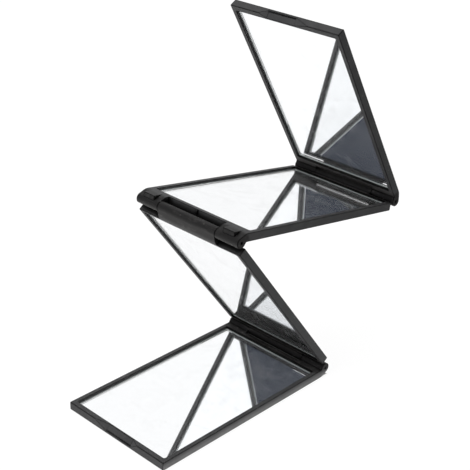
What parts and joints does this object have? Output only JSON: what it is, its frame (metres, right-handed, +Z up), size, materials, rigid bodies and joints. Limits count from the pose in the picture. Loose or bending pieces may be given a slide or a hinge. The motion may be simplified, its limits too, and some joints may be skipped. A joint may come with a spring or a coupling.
{
  "type": "folding mirror",
  "caption": "Free-standing folding mirror: framed glass panels chained by barrel hinges, which fold flat into a pocket stack or stand open in a zigzag.",
  "frame": {"origin": "middle of the flat underside of the base panel, on the surface that the mirror stands on", "axes": "+Z up; Y along the hinge pins; +X along the base panel, from its free end towards its hinge"},
  "size_m": [0.2503, 0.1, 0.2772],
  "materials": {
    "frame": "black moulded plastic with a fine satin texture",
    "mirror": "second-surface silvered glass",
    "tape": "closed-cell foam mounting tape",
    "pin": "plain drawn wire"
  },
  "bodies": {
    "base": {"base_frame": "frame", "base_mirror": "mirror", "base_tape_near": "tape", "base_tape_far": "tape"},
    "lower": {"lower_frame": "frame", "lower_mirror": "mirror", "lower_tape_near": "tape", "lower_tape_far": "tape", "first_pin_near": "pin", "first_pin_far": "pin", "second_pin_near": "pin", "second_pin_far": "pin"},
    "upper": {"upper_frame": "frame", "upper_mirror": "mirror", "upper_tape_near": "tape", "upper_tape_far": "tape", "third_pin_near": "pin", "third_pin_far": "pin"},
    "top": {"top_frame": "frame", "top_mirror": "mirror", "top_tape_near": "tape", "top_tape_far": "tape"}
  },
  "joints": [
    {"name": "first_hinge", "type": "hinge", "parent": "base", "child": "lower", "pos_m": [0.0892, 0, 0.00655], "axis": [0, 1, 0], "range_deg": [-52.4, 127.6]},
    {"name": "second_hinge", "type": "hinge", "parent": "lower", "child": "upper", "pos_m": [-0.01227, 0, 0.14929], "axis": [0, -1, 0], "range_deg": [-42.7, 137.3]},
    {"name": "third_hinge", "type": "hinge", "parent": "upper", "child": "top", "pos_m": [0.16136, 0, 0.12641], "axis": [0, 1, 0], "range_deg": [-49.8, 130.2]}
  ]
}
